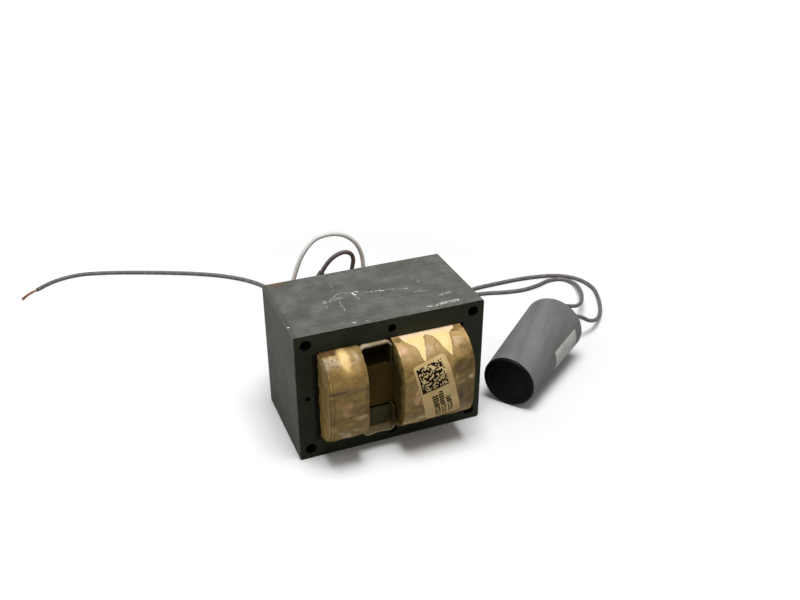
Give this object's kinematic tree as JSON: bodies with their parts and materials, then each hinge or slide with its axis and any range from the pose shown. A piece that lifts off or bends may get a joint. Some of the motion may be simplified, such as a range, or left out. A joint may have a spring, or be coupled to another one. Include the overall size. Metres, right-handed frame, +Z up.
{
  "type": "ignition transformer",
  "caption": "Laminated core with two paper-wrapped coils on one leg, magnetic shunts between them, and a wired capacitor can lying beside it.",
  "frame": {"origin": "on the floor under the middle of the laminated core", "axes": "+X to the right along the core's width, towards the capacitor; +Y to the rear through the stack; +Z up from the foot"},
  "size_m": [0.4199, 0.3133, 0.0999],
  "materials": {
    "core_steel": "dark grey-green varnished lamination steel, scratched",
    "shunt_steel": "varnished shunt laminations",
    "tube_board": "brown varnished board tube",
    "liner_paper": "tan insulating paper",
    "winding_layers": "edges of the paper between wire layers",
    "wrap_paper": "amber varnished wrapping paper with creases",
    "pad_tape": "tan paper tape",
    "case_plastic": "black plastic with a soft sheen",
    "case_resin": "black potting resin",
    "lead_grey": "grey-brown lead insulation",
    "lead_sleeve": "brown-violet woven sleeve",
    "lead_pale": "pale lead insulation",
    "bare_wire": "dull stripped copper strands"
  },
  "bodies": {
    "root": {"core_e_stack": "core_steel", "core_i_stack": "core_steel", "leg_tube": "tube_board", "upper_shunt": "shunt_steel", "lower_shunt": "shunt_steel", "upper_liner": "liner_paper", "lower_liner": "liner_paper", "narrow_winding": "winding_layers", "narrow_wrap": "wrap_paper", "narrow_band": "wrap_paper", "wide_winding": "winding_layers", "wide_wrap": "wrap_paper", "narrow_lead_pad": "pad_tape", "wide_lead_pad": "pad_tape", "capacitor_case": "case_plastic", "capacitor_potting": "case_resin", "capacitor_sleeves": "case_resin", "capacitor_lead_inner": "lead_grey", "capacitor_lead_outer": "lead_grey", "bridge_sleeve": "lead_sleeve", "bridge_lead": "lead_sleeve", "pale_lead": "lead_pale", "flying_lead": "lead_grey", "flying_lead_tip": "bare_wire"}
  },
  "joints": []
}
